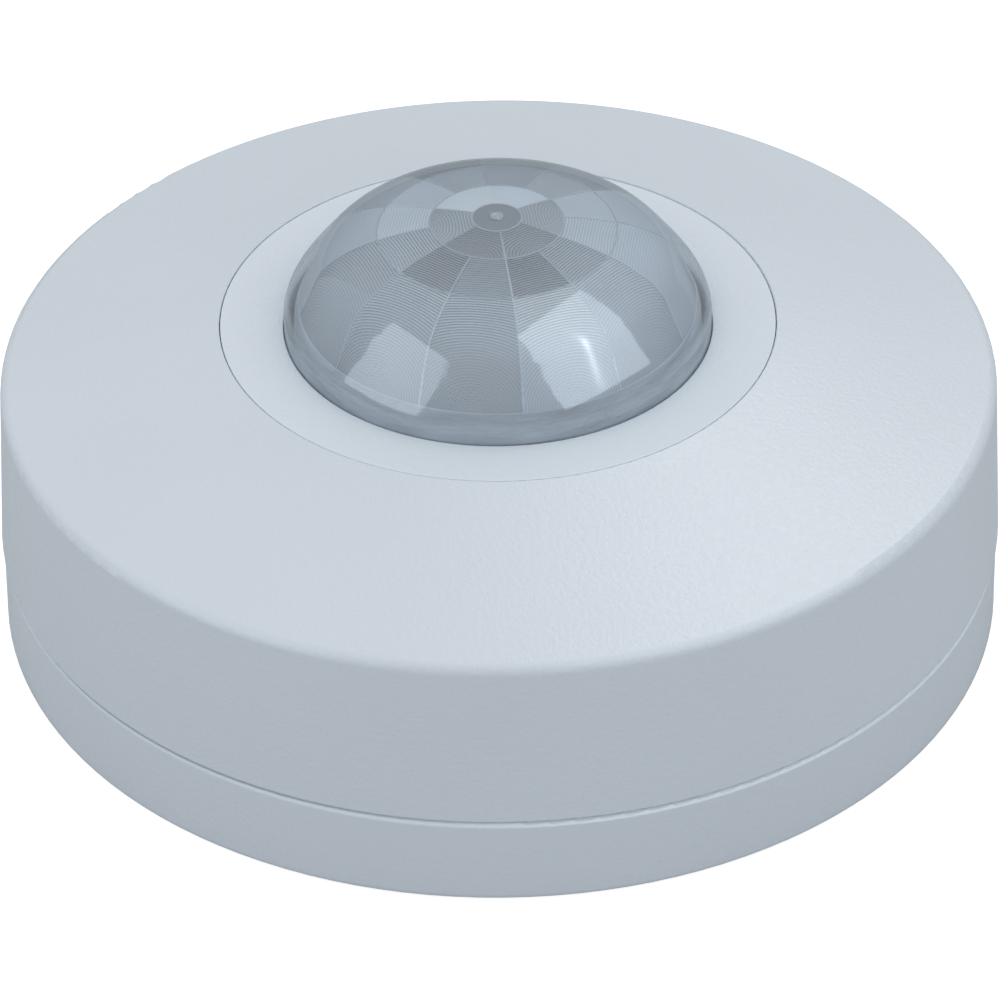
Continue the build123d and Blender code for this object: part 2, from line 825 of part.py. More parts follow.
# ----------------------------------------------- axial resistors and diodes
def axial_parts(label, spots, axis_z, cylinders, lead_lo, lead_y, lead_r):
    """One piece of axial components along Y, with upright leads to the board.

    cylinders lists (start from the centre, length, radius).
    """
    with BuildPart() as components:
        for x, y in spots:
            for start, length, radius in cylinders:
                with BuildSketch(at_y(y + start)):
                    with Locations((x, axis_z)):
                        Circle(radius)
                extrude(amount=-length)
            with BuildSketch(at_z(lead_lo)):
                with Locations((x, y - lead_y), (x, y + lead_y)):
                    Circle(lead_r)
            extrude(amount=under_board - lead_lo)
    finish(components, label)


axial_parts(
    "resistors",
    spots=[(-9.0, 24.0), (-12.6, 24.0), (-16.2, 24.0), (-3.6, 23.0), (0.0, 23.0), (3.6, 23.0)],
    axis_z=17.9,
    # wire, body, and a thicker cap at each end
    cylinders=((-4.6, 9.2, 0.3), (-3.1, 6.2, 1.1), (-3.3, 1.5, 1.25), (1.8, 1.5, 1.25)),
    lead_lo=17.8, lead_y=4.2, lead_r=0.26,
)
axial_parts(
    "diodes",
    spots=[(8.6, 25.0), (12.4, 25.0), (16.2, 25.0), (20.0, 25.0)],
    axis_z=17.8,
    # wire and body
    cylinders=((-5.0, 10.0, 0.38), (-2.6, 5.2, 1.35)),
    lead_lo=17.5, lead_y=4.7, lead_r=0.38,
)

# --------------------------------------------------------------- transistors
transistor_points = [(-25.0, 27.0), (27.0, 27.0)]

with BuildPart() as transistors:
    # round bodies with a flat on the -Y side
    with BuildSketch(at_z(13.0)):
        with Locations(transistor_points):
            Circle(2.4)
            with Locations((0, -2.9)):
                Rectangle(6.0, 3.2, mode=Mode.SUBTRACT)
    extrude(amount=4.6)
    with BuildSketch(at_z(17.5)):
        with Locations(transistor_points):
            with Locations((-1.27, 0.3), (0, 0.3), (1.27, 0.3)):
                Rectangle(0.45, 0.45)
    extrude(amount=under_board - 17.5)
finish(transistors, "transistors")

# ------------------------------------------------------------ terminal block
pole_pitch = 7.5
poles = (-pole_pitch, 0.0, pole_pitch)
pole_points = [(x, 6.4) for x in poles]
block_lo = 7.4
block_y0 = 2.0
block_y1 = 12.0

with BuildPart() as terminal_block:
    with BuildSketch(at_z(block_lo)):
        with Locations((0, (block_y0 + block_y1) / 2)):
            Rectangle(23.0, block_y1 - block_y0)
    extrude(amount=under_board - block_lo)
    chamfer(terminal_block.edges().filter_by(Axis.Z), 0.5)
    # one chamber per pole, open to the wire side at -Y
    with BuildSketch(at_y(block_y0 - 0.1)):
        with Locations([(x, 13.9) for x in poles]):
            Rectangle(5.6, 6.4)
    extrude(amount=-7.9, mode=Mode.SUBTRACT)
    # screw shafts, open to the rear
    with BuildSketch(at_z(block_lo)):
        with Locations(pole_points):
            Circle(1.95)
    extrude(amount=4.0, mode=Mode.SUBTRACT)
    # shallow grooves that part the poles
    with BuildSketch(at_z(block_lo)):
        with Locations((-pole_pitch / 2, 7.0), (pole_pitch / 2, 7.0)):
            Rectangle(0.8, 12.0)
    extrude(amount=0.8, mode=Mode.SUBTRACT)
finish(terminal_block, "terminal_block")

with BuildPart() as terminal_cages:
    with BuildSketch(at_z(10.9)):
        with Locations(pole_points):
            Rectangle(5.2, 5.4)
    extrude(amount=6.0)
    # wire passage along Y, then the screw hole
    with BuildSketch(at_y(0)):
        with Locations([(x, 14.2) for x in poles]):
            Rectangle(3.6, 3.8)
    extrude(amount=-12.0, mode=Mode.SUBTRACT)
    with BuildSketch(at_z(10.8)):
        with Locations(pole_points):
            Circle(1.30)
    extrude(amount=2.0, mode=Mode.SUBTRACT)
finish(terminal_cages, "terminal_cages")

with BuildPart() as terminal_screws:
    # head, then shank: bottom, radius, length
    for bottom, radius, length in ((8.1, 1.8, 1.9), (9.9, 1.22, 3.4)):
        with BuildSketch(at_z(bottom)):
            with Locations(pole_points):
                Circle(radius)
        extrude(amount=length)
    with BuildSketch(at_z(8.1)):
        with Locations(pole_points):
            Rectangle(3.8, 0.6)
    extrude(amount=1.0, mode=Mode.SUBTRACT)
finish(terminal_screws, "terminal_screws")


# ------------------------------------------- adjuster trimmers and knobs
def build_trimmer(name, angle):
    x, y = polar(knob_pitch_r, angle)
    with BuildPart() as trimmer:
        with BuildSketch(at_z(on_board)) as body:
            with Locations(Location((x, y, 0), (0, 0, angle))):
                Rectangle(7.6, 7.6)
                fillet(body.vertices(), 0.6)
        extrude(amount=4.5)
        # shaft hole, then a wider pocket in the top
        for bottom, radius in ((22.6, shaft_hole_r), (24.9, 3.0)):
            with BuildSketch(at_z(bottom)):
                with Locations((x, y)):
                    Circle(radius)
            extrude(amount=4.0, mode=Mode.SUBTRACT)
    finish(trimmer, f"trimmer_{name}")


def build_knob(name, angle):
    x, y = polar(knob_pitch_r, angle)
    with BuildPart() as knob:
        # disc with a grooved edge
        with BuildSketch(at_z(27.25)):
            with Locations((x, y)):
                Circle(3.9)
                with PolarLocations(4.05, 20):
                    Circle(0.34, mode=Mode.SUBTRACT)
        extrude(amount=2.6)
        with BuildSketch(at_z(22.8)):
            with Locations((x, y)):
                Circle(shaft_r)
        extrude(amount=4.6)
        # screwdriver slot and a pointer notch
        with BuildSketch(at_z(28.75)):
            with Locations(Location((x, y, 0), (0, 0, angle + 90))):
                Rectangle(5.4, 1.0)
                with Locations((3.2, 0)):
                    Circle(0.75)
        extrude(amount=2.0, mode=Mode.SUBTRACT)
    finish(knob, f"knob_{name}")


for name, angle in knob_angles.items():
    build_trimmer(name, angle)
    build_knob(name, angle)
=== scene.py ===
"""A round white detector housing with a milky Fresnel dome.

It lies base down on the floor with the dome's axis on +Z. The front faces -Y, where the
camera stands, and +X is to its right. The dome is measured in millimetres, the stage and
lights in metres.
"""
import bpy
import json
import math
import numpy as np
from mathutils import Vector, Matrix


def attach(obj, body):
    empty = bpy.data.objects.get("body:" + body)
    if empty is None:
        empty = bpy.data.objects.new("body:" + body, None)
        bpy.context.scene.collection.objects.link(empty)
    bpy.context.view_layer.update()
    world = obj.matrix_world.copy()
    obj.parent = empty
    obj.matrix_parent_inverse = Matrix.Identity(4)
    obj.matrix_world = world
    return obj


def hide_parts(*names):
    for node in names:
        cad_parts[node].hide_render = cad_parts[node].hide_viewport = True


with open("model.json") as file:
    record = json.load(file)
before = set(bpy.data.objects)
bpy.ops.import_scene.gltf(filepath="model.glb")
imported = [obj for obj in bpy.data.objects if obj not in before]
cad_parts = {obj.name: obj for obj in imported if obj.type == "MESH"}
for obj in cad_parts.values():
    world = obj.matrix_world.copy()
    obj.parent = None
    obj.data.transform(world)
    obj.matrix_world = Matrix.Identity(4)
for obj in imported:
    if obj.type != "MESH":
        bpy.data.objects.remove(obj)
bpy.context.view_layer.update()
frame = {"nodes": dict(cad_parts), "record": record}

MM = 0.001
scene = bpy.context.scene
NODES = frame["nodes"]


# ------------------------------------------------------------- node helpers
def lin(red, green, blue):
    """sRGB 0-255 to linear."""
    channels = []
    for c in (red, green, blue):
        c /= 255.0
        channels.append(c / 12.92 if c <= 0.04045 else ((c + 0.055) / 1.055) ** 2.4)
    return (*channels, 1.0)


def scaled(color, factor):
    return (*(c * factor for c in color[:3]), 1.0)


class Tree:
    """Small wrapper round the node tree of a material or world."""

    def __init__(self, owner, output="ShaderNodeOutputMaterial"):
        owner.use_nodes = True
        self.owner = owner
        self.nodes = owner.node_tree.nodes
        self.nodes.clear()
        self.output = self.nodes.new(output)

    def feed(self, socket, value):
        """Link a socket or a node's first output, or set a plain value; None is left alone."""
        if isinstance(value, bpy.types.Node):
            value = value.outputs[0]
        if isinstance(value, bpy.types.NodeSocket):
            self.owner.node_tree.links.new(value, socket)
        elif value is not None:
            socket.default_value = value

    def node(self, kind, **values):
        """New node with its inputs fed by name; an underscore stands for a space."""
        node = self.nodes.new(kind)
        for name, value in values.items():
            self.feed(node.inputs[name.replace("_", " ")], value)
        return node

    def surface(self, shader):
        self.feed(self.output.inputs["Surface"], shader)

    def coords(self):
        raw = self.node("ShaderNodeTexCoord")
        return self.node("ShaderNodeMapping", Vector=raw.outputs["Object"])

    def noise(self, vector, scale, detail=3.0, roughness=0.55):
        node = self.node("ShaderNodeTexNoise", Scale=scale, Detail=detail,
                         Roughness=roughness, Vector=vector)
        return node.outputs["Fac"]

    def ring_streaks(self, vector, squash, scale):
        """Noise squashed in Z, so that it streaks round the dome."""
        flat = self.node("ShaderNodeMapping", Scale=(1.0, 1.0, squash), Vector=vector)
        return self.noise(flat, scale=scale, detail=4.0, roughness=0.6)

    def math(self, operation, *values, clamp=False):
        node = self.node("ShaderNodeMath")
        node.operation = operation
        node.use_clamp = clamp
        for socket, value in zip(node.inputs, values):
            self.feed(socket, value)
        return node

    def times(self, a, b, clamp=False):
        return self.math("MULTIPLY", a, b, clamp=clamp)

    def plus(self, a, b, clamp=False):
        return self.math("ADD", a, b, clamp=clamp)

    def vector_math(self, operation, a, b):
        node = self.node("ShaderNodeVectorMath")
        node.operation = operation
        self.feed(node.inputs[0], a)
        self.feed(node.inputs[1], b)
        return node

    def remap(self, value, to, span=(0.3, 0.7)):
        """Map the span to the range `to`; the default span holds most of a noise."""
        node = self.node("ShaderNodeMapRange", From_Min=span[0], From_Max=span[1],
                         To_Min=to[0], To_Max=to[1], Value=value)
        return node.outputs["Result"]

    def mix(self, factor, a, b):
        node = self.node("ShaderNodeMix")
        node.data_type = "RGBA"
        # inputs 6 and 7 and output 2 are the colour sockets
        for socket, value in ((0, factor), (6, a), (7, b)):
            self.feed(node.inputs[socket], value)
        return node.outputs[2]

    def mix_shader(self, factor, a, b):
        node = self.node("ShaderNodeMixShader")
        for socket, value in zip(node.inputs, (factor, a, b)):
            self.feed(socket, value)
        return node

    def bump(self, height, strength, distance, normal=None):
        return self.node("ShaderNodeBump", Strength=strength, Distance=distance,
                         Height=height, Normal=normal)

    def principled(self, color, roughness, normal, metallic=0.0, ior=None):
        self.surface(self.node("ShaderNodeBsdfPrincipled", Base_Color=color, IOR=ior,
                               Roughness=roughness, Metallic=metallic, Normal=normal))

    def attribute(self, name):
        node = self.node("ShaderNodeAttribute")
        node.attribute_name = name
        return node.outputs["Fac"]

    def facing(self):
        return self.node("ShaderNodeLayerWeight", Blend=0.5).outputs["Facing"]


def new_material(name):
    return Tree(bpy.data.materials.new(name))


# ---------------------------------------------------------------- materials
LIP_FOOT, LIP_TOP = 9.5, 9.8    # heights between which the painted highlight along the base wall's top edge comes in, mm


def base_wall_painted_light(tree, color, base):
    """Painted highlight along the top edge of the base wall, painted shade in the seam above it
    on the left and at its foot.
    """
    raw = tree.node("ShaderNodeTexCoord")
    place = tree.node("ShaderNodeSeparateXYZ", Vector=raw.outputs["Object"])
    x, z = place.outputs["X"], place.outputs["Z"]
    # painted highlight along the top edge, weaker towards the left
    edge = tree.remap(z, span=(LIP_FOOT * MM, LIP_TOP * MM), to=(0.0, 1.0))
    side = tree.remap(x, span=(-40 * MM, 5 * MM), to=(0.35, 1.0))
    lip_highlight = tuple(min(c * 1.25, 0.97) for c in base[:3]) + (1.0,)
    color = tree.mix(tree.times(edge, side), color, lip_highlight)
    # painted shade in the seam gap above the lip, on the left
    left = tree.remap(x, span=(-45 * MM, 0.0), to=(1.0, 0.0))
    seam_shade = tree.remap(z, span=(LIP_TOP * MM + 0.15 * MM, LIP_TOP * MM + 0.28 * MM), to=(0.0, 1.0))
    color = tree.mix(tree.times(seam_shade, tree.times(left, 0.75)), color, scaled(base, 0.5))
    # painted shade at the foot, where the base meets the floor
    foot = tree.remap(z, span=(0.05 * MM, 0.5 * MM), to=(1.0, 0.0))
    return tree.mix(tree.times(foot, 0.5), color, scaled(base, 0.62))


def shell_plastic(name, rgb, offset=0.0, lip=False):
    """White ABS with a fine spark-eroded texture and a few dark specks."""
    base = lin(*rgb)
    tree = new_material(name)
    vector = tree.node("ShaderNodeMapping", Vector=tree.coords(),
                       Location=(offset, offset * 0.7, offset * 1.3))
    cloud = tree.noise(vector, scale=28.0, detail=2.0)
    fine = tree.noise(vector, scale=1500.0, roughness=0.6)
    color = tree.mix(tree.remap(cloud, to=(0.0, 1.0)), scaled(base, 0.985), scaled(base, 1.012))
    # a speck sits in only one Voronoi cell in ten
    cells = tree.node("ShaderNodeTexVoronoi", Scale=210.0, Vector=vector)
    dot = tree.remap(cells.outputs["Distance"], span=(0.018, 0.030), to=(1.0, 0.0))
    pick = tree.node("ShaderNodeSeparateColor", Color=cells.outputs["Color"])
    speck = tree.times(dot, tree.math("GREATER_THAN", pick, 0.90))
    color = tree.mix(tree.times(speck, 0.45), color, scaled(base, 0.55))
    # the base gets the painted highlight and painted shade along its wall
    if lip:
        color = base_wall_painted_light(tree, color, base)
    roughness = tree.remap(fine, span=(0.25, 0.75), to=(0.37, 0.47))
    normal = tree.bump(fine, strength=0.22, distance=0.00010)
    finer = tree.noise(vector, scale=1800.0, detail=2.0, roughness=0.6)
    normal = tree.bump(finer, strength=0.31, distance=0.00022, normal=normal)
    tree.principled(color, roughness, normal, ior=1.49)
    return tree.owner


def varied_color(tree, vector, rgb, variation, scale):
    """The colour drifting a little darker and lighter with a broad noise."""
    base = lin(*rgb)
    drift = tree.noise(vector, scale=scale, detail=2.0)
    return tree.mix(drift, scaled(base, 1 - variation), scaled(base, 1 + variation))


def plain_plastic(name, rgb, rough, variation=0.06, grain=900.0, bump=0.10):
    tree = new_material(name)
    vector = tree.coords()
    fine = tree.noise(vector, scale=grain)
    color = varied_color(tree, vector, rgb, variation, scale=60.0)
    roughness = tree.remap(fine, to=(rough - 0.05, rough + 0.06))
    tree.principled(color, roughness, tree.bump(fine, strength=bump, distance=0.0001), ior=1.5)
    return tree.owner


def metal(name, rgb, rough):
    tree = new_material(name)
    vector = tree.coords()
    fine = tree.noise(vector, scale=300.0, detail=4.0)
    color = varied_color(tree, vector, rgb, variation=0.08, scale=70.0)
    roughness = tree.remap(fine, to=(rough - 0.06, rough + 0.1))
    normal = tree.bump(fine, strength=0.08, distance=0.00006)
    tree.principled(color, roughness, normal, metallic=1.0)
    return tree.owner


def board_material(name):
    """Green solder mask with copper tracks showing faintly underneath."""
    tree = new_material(name)
    vector = tree.coords()
    cells = tree.node("ShaderNodeTexVoronoi", Scale=170.0, Vector=vector)
    cells.feature = "DISTANCE_TO_EDGE"
    cells.distance = "MANHATTAN"
    track = tree.remap(cells.outputs["Distance"], span=(0.05, 0.09), to=(1.0, 0.0))
    cloud = tree.noise(vector, scale=90.0, detail=2.0)
    color = tree.mix(track, lin(16, 84, 52), lin(34, 118, 72))
    color = tree.mix(tree.remap(cloud, to=(0, 0.25)), color, lin(10, 60, 38))
    tree.principled(color, 0.32, tree.bump(track, strength=0.3, distance=0.00003))
    return tree.owner


SHELL_RGB = (215, 223, 230)
shell = shell_plastic("shell_white_plastic", SHELL_RGB)
shell_base = shell_plastic("shell_white_base", SHELL_RGB, offset=0.31, lip=True)
# the bezel's white is painted lighter than the shell's: painted light for what the translucent
# lens lets through
shell_bezel_lit = shell_plastic("shell_white_bezel", (224, 232, 239), offset=0.77)
inner_white = plain_plastic("inner_white_plastic", (208, 211, 213), rough=0.42)
MATERIALS = {
    "shell_white": shell,
    "inner_white": inner_white,
    "board_green": board_material("solder_mask"),
    "steel": metal("zinc_steel", (182, 184, 186), rough=0.34),
    "can_metal": metal("nickel_can", (196, 192, 184), rough=0.24),
    "window_ir": plain_plastic("ir_window", (46, 40, 44), rough=0.12, variation=0.03),
    "ceramic": plain_plastic("ceramic_tan", (214, 200, 176), rough=0.6),
    "led_red": plain_plastic("led_red", (190, 34, 28), rough=0.15, variation=0.04),
    "chip_black": plain_plastic("epoxy_black", (38, 38, 41), rough=0.55),
    "relay_case": plain_plastic("relay_case_black", (44, 47, 54), rough=0.4),
    "copper": metal("enamelled_copper", (196, 112, 72), rough=0.3),
    "iron": metal("soft_iron", (150, 150, 152), rough=0.42),
    "brass": metal("brass", (206, 172, 98), rough=0.3),
    "film_yellow": plain_plastic("film_cap_yellow", (214, 178, 62), rough=0.35),
    "sleeve_dark": plain_plastic("cap_sleeve", (40, 46, 66), rough=0.25),
    "varistor_blue": plain_plastic("varistor_blue", (50, 92, 168), rough=0.35, variation=0.05,
                                   grain=500.0, bump=0.2),
    "fuse_brown": plain_plastic("fuse_brown", (84, 62, 48), rough=0.5),
    "resistor_tan": plain_plastic("resistor_tan", (206, 186, 150), rough=0.45),
    "terminal_grey": plain_plastic("terminal_grey", (150, 154, 158), rough=0.5),
    "trimmer_blue": plain_plastic("trimmer_blue", (52, 86, 148), rough=0.45),
    "knob_grey": plain_plastic("knob_grey", (104, 110, 118), rough=0.42),
}
slot_of = {part["node"]: part["material_slot"] for part in frame["record"]["subparts"]}
for name, piece in NODES.items():
    piece.data.materials.clear()
    piece.data.materials.append(MATERIALS.get(slot_of.get(name), inner_white))
NODES["mounting_base"].data.materials[0] = shell_base
NODES["bezel_ring"].data.materials[0] = shell_bezel_lit


# ------------------------------------------------------------- dome profile
# Places on the dome are (azimuth in degrees anticlockwise from +X, arc length from the apex).

# outer profile from apex to rim: (radius, z), mm
DOME = [(0, 50.2), (7.5, 49.5), (13.6, 48.25), (16.8, 46.98), (19.15, 45.4), (20.7, 43.6),
        (22.25, 41.6), (23.45, 39.8), (24.06, 38.1), (24.1, 36.9)]


def spline_samples(points, start_slope, end_slope, count):
    """Even samples of a clamped cubic spline through the points, by chord length."""
    points = np.array(points, float)
    knots = np.concatenate([[0], np.cumsum(np.hypot(*np.diff(points, axis=0).T))])
    last = len(knots) - 1
    gap = np.diff(knots)
    system = np.zeros((last + 1, last + 1))
    target = np.zeros((last + 1, 2))
    system[0, 0] = system[-1, -1] = 1
    target[0], target[-1] = start_slope, end_slope
    for i in range(1, last):
        before, after = gap[i - 1], gap[i]
        system[i, i - 1:i + 2] = after, 2 * (before + after), before
        target[i] = 3 * (after * (points[i] - points[i - 1]) / before
                         + before * (points[i + 1] - points[i]) / after)
    slopes = np.linalg.solve(system, target)

    along = np.linspace(0, knots[-1], count)
    k = np.clip(np.searchsorted(knots, along, side="right") - 1, 0, last - 1)
    width = gap[k][:, None]
    s = (along - knots[k])[:, None] / width
    s2, s3 = s * s, s * s * s
    return ((2 * s3 - 3 * s2 + 1) * points[k] + (s3 - 2 * s2 + s) * width * slopes[k]
            + (-2 * s3 + 3 * s2) * points[k + 1] + (s3 - s2) * width * slopes[k + 1])


PROFILE = spline_samples(DOME, start_slope=(1, 0), end_slope=(0, -1), count=4001)
ARCS = np.concatenate([[0], np.cumsum(np.hypot(*np.diff(PROFILE, axis=0).T))])
DOME_END = ARCS[-1]


def dome_radius(arc):
    return np.interp(arc, ARCS, PROFILE[:, 0])


def dome_point(arc):
    """Radius and z of the outer profile; straight down below the dome's end."""
    return dome_radius(arc), np.interp(arc, ARCS, PROFILE[:, 1]) - np.maximum(arc - DOME_END, 0)


def dome_normal(arc):
    before, after = dome_point(np.maximum(arc - 0.05, 0)), dome_point(arc + 0.05)
    dr, dz = after[0] - before[0], after[1] - before[1]
    length = np.hypot(dr, dz)
    return -dz / length, dr / length


def arc_at(radius):
    return float(np.interp(radius, PROFILE[:, 0], ARCS))


def on_dome(azimuth, arc, depth):
    """Points at a depth under the outer skin, along the inward normal."""
    radius, z = dome_point(arc)
    normal_r, normal_z = dome_normal(arc)
    radius = radius - normal_r * depth
    z = z - normal_z * depth
    turn = np.radians(azimuth)
    return np.stack([radius * np.cos(turn), radius * np.sin(turn), z], axis=-1)


# -------------------------------------------------------------- lens design
SKIN = 0.16          # plastic between the smooth outside and the groove lands
PITCH = 0.335        # groove pitch
MAX_SLOPE = 0.30     # steepest facet
FACET_LENGTH = 0.8   # length of a facet round its groove
LINE = 0.08          # nominal half width of the raised lines between cells
LINE_INSET = LINE * 0.8     # gap from a ring line's centre to the end of a meridian line
MERIDIAN_WIDEN, RING_WIDEN = 1.35, 1.15    # drawn half widths of the lines over LINE
LINE_RISE, LINE_ROOT = 0.03, 0.14    # line walls reach above and below the lands
FIRST_AZIMUTH = -83.0
RING_ARCS = [arc_at(radius) for radius in (2.77, 7.5, 13.45, 23.55)]   # ring lines
RING_TONES = (0.60, 0.60, 0.60, 0.76)
APEX_LINE, RIM_LINE = RING_ARCS[0], RING_ARCS[-1]
THICK_START = arc_at(19.6)   # from here to the rim line the wall thickens
RIM_DEPTH = 1.15             # by this much
RIM_WALL = 1.0               # wall at the foot of the rim
RIM_RADIUS, DOME_FOOT = DOME[-1]
FLANGE_RADIUS, FLANGE_TOP, FLANGE_BOTTOM = 27.6, 34.1, 32.8
RIM_END = DOME_END + (DOME_FOOT - FLANGE_TOP)
SKIN_STEPS = 288             # steps round the outer skin and flange

# The cell rings from the apex outwards. Each list runs anticlockwise (seen from above) from
# the cell that starts at FIRST_AZIMUTH, just right of the front.
#   centre: arc length of the grooves' optical centre; slope: facet slope per mm of groove
#   radius; fade: painted shade, tone lost from inner to outer edge; tones: milkiness with painted
#   light and shade per cell; contrasts: strength of the painted shade across the grooves;
#   boosts: painted highlight on the line on the cell's clockwise side
CELL_RINGS = [
    dict(centre=arc_at(8.6), slope=0.035, fade=0.0,
         tones=[0.416, 0.502, 0.834, 0.874, 0.514, 0.381],
         contrasts=[2.9, 2.5, 0.8, 1.2, 2.4, 2.2],
         boosts=[0.22] + [0.05] * 5),
    dict(centre=arc_at(20.0), slope=0.024, fade=0.0,
         tones=[0.456, 0.579, 0.76, 0.706, 0.513, 0.424,
                0.464, 0.66, 0.798, 0.61, 0.455, 0.539],
         contrasts=[1.8, 1.8, 1.2, 1.1, 1.2, 1.6, 1.6, 1.6, 1.2, 1.7, 1.9, 0.4],
         boosts=[0.22, 0.06] + [0.05] * 9 + [0.10]),
    dict(centre=RIM_LINE + 0.5, slope=0.024, fade=0.32,
         tones=[0.79, 0.668, 0.674, 0.583, 0.336, 0.263,
                0.224, 0.417, 0.597, 0.508, 0.623, 0.612],
         contrasts=[1.3, 1.1, 0.8, 0.8, 0.8, 0.8, 0.8, 0.9, 0.5, 1.3, 1.5, 1.1],
         boosts=[0.12, 0.06] + [0.05] * 9 + [0.18]),
]

# small round relief at the apex of the outer skin: (arc length, depth), mm
APEX_RELIEF = [(0, 0.02), (0.2, 0.03), (0.3, 0.09), (0.42, 0.10), (0.55, 0.01), (0.68, 0.01),
               (0.8, 0.08), (0.92, 0.08), (1.1, 0.0)]
GATE_ARC = 0.75              # the milky spot at the apex ends here


# ------------------------------------------------------------ lens building
OUTER, INNER = 0, 1    # material slots


class LensMesh:
    """Collects polygons with the per-vertex attributes that the lens materials read."""

    # tone: milkiness with painted light and shade per cell; ridge: 0 to 1 across a facet; steep:
    # strength of the painted groove shade;
    # land: 0 cell, 1 raised line, 2 rim; gate: 1 on the spot at the apex
    DEFAULTS = dict(tone=0.5, ridge=0.5, steep=0.0, land=0.0, gate=0.0)

    def __init__(self):
        self.points, self.faces, self.slots = [], [], []
        self.attributes = {key: [] for key in self.DEFAULTS}

    def add(self, points, faces, slot, **values):
        base = len(self.points)
        self.points.extend(tuple(point) for point in points)
        self.faces.extend([i + base for i in face] for face in faces)
        self.slots.extend([slot] * len(faces))
        for key, value in {**self.DEFAULTS, **values}.items():
            self.attributes[key].extend(np.broadcast_to(value, len(points)).tolist())

    def build(self, name, materials, smooth_angle):
        mesh = bpy.data.meshes.new(name)
        mesh.from_pydata([(x * MM, y * MM, z * MM) for x, y, z in self.points], [], self.faces)
        for key, values in self.attributes.items():
            layer = mesh.attributes.new(key, "FLOAT", "POINT")
            layer.data.foreach_set("value", np.array(values, np.float32))
        mesh.polygons.foreach_set("material_index", np.array(self.slots, np.int32))
        for material in materials:
            mesh.materials.append(material)
        mesh.validate()
        mesh.update()
        mesh.shade_smooth()
        mesh.set_sharp_from_angle(angle=math.radians(smooth_angle))
        return link_object(name, mesh)


def link_object(name, data):
    item = bpy.data.objects.new(name, data)
    scene.collection.objects.link(item)
    return item


lens = LensMesh()


def thicker(arc):
    """Extra depth of the inner face towards the rim."""
    x = np.clip((arc - THICK_START) / (RIM_LINE - THICK_START), 0, 1)
    return RIM_DEPTH * x * x * (3 - 2 * x)


# A limit is (axis, value, keep_below); axis 0 is azimuth, 1 is arc length.
def inside(point, limit):
    axis, value, keep_below = limit
    return point[axis] <= value if keep_below else point[axis] >= value


def crossing(start, end, limit):
    axis, value, _ = limit
    share = (value - start[axis]) / (end[axis] - start[axis])
    return tuple(start[j] + share * (end[j] - start[j]) for j in range(3))


def clip_polygon(polygon, limits):
    """Sutherland-Hodgman; empty where fewer than three corners stay."""
    for limit in limits:
        kept = []
        for i, current in enumerate(polygon):
            previous = polygon[i - 1]
            if inside(current, limit) != inside(previous, limit):
                kept.append(crossing(previous, current, limit))
            if inside(current, limit):
                kept.append(current)
        if len(kept) < 3:
            return []
        polygon = kept
    return polygon


def clip_segment(ends, limits):
    for limit in limits:
        kept = [end for end in ends if inside(end, limit)]
        if not kept:
            return []
        if len(kept) == 1:
            cut = crossing(ends[0], ends[1], limit)
            ends = [ends[0], cut] if kept[0] == ends[0] else [cut, ends[1]]
    return ends


def groove_circle(middle, centre, radius, steps):
    """(azimuth, arc, groove radius) round a circle laid on the dome about a cell's centre."""
    turns = np.linspace(-math.pi, math.pi, steps + 1)
    points = []
    for cosine, sine in zip(np.cos(turns), np.sin(turns)):
        arc = centre + radius * sine
        # the floor keeps the azimuth finite near the apex
        round_radius = max(float(dome_radius(arc)), 0.6)
        points.append((middle + math.degrees(radius * cosine / round_radius), arc, radius))
    return points


def groove_ring(number, middle, centre, limits, slope_rate):
    """One groove of a cell: rows of (azimuth, arc, depth, ridge), and its faces."""
    inner, outer = number * PITCH, (number + 1) * PITCH
    mean = (inner + outer) / 2
    drop = min(slope_rate * mean, MAX_SLOPE) * (outer - inner)
    steps = max(16, int(2 * math.pi * mean / FACET_LENGTH))
    inner_circle = groove_circle(middle, centre, inner, steps)
    outer_circle = groove_circle(middle, centre, outer, steps)
    rows, faces, index = [], [], {}

    def vertex(point, depth, ridge):
        # ridge 2 keeps a riser's upper corners apart; it is stored as 1
        key = (round(point[0], 5), round(point[1], 5), round(depth, 4), ridge)
        if key not in index:
            index[key] = len(rows)
            rows.append((point[0], point[1], depth, min(ridge, 1.0)))
        return index[key]

    for i in range(steps):
        quad = [inner_circle[i], outer_circle[i], outer_circle[i + 1], inner_circle[i + 1]]
        azimuths = [corner[0] for corner in quad]
        # quads stretched round the apex are left out
        if max(azimuths) - min(azimuths) > 40:
            continue
        facet = clip_polygon(quad, limits)
        if not facet:
            continue
        face = []
        for point in facet:
            share = (point[2] - inner) / (outer - inner)
            corner = vertex(point, SKIN + drop * share, round(share, 3))
            if not face or face[-1] != corner:
                face.append(corner)
        if len(face) > 1 and face[0] == face[-1]:
            face.pop()
        if 3 <= len(face) == len(set(face)):
            faces.append(face)
        # the riser at the facet's outer radius, back up to the skin
        edge = clip_segment(outer_circle[i:i + 2], limits)
        if not edge or drop <= 0.01:
            continue
        start, end = edge
        if abs(start[0] - end[0]) + abs(start[1] - end[1]) > 1e-4:
            faces.append([vertex(start, SKIN + drop, 1.0), vertex(end, SKIN + drop, 1.0),
                          vertex(end, SKIN, 2.0), vertex(start, SKIN, 2.0)])
    return rows, faces


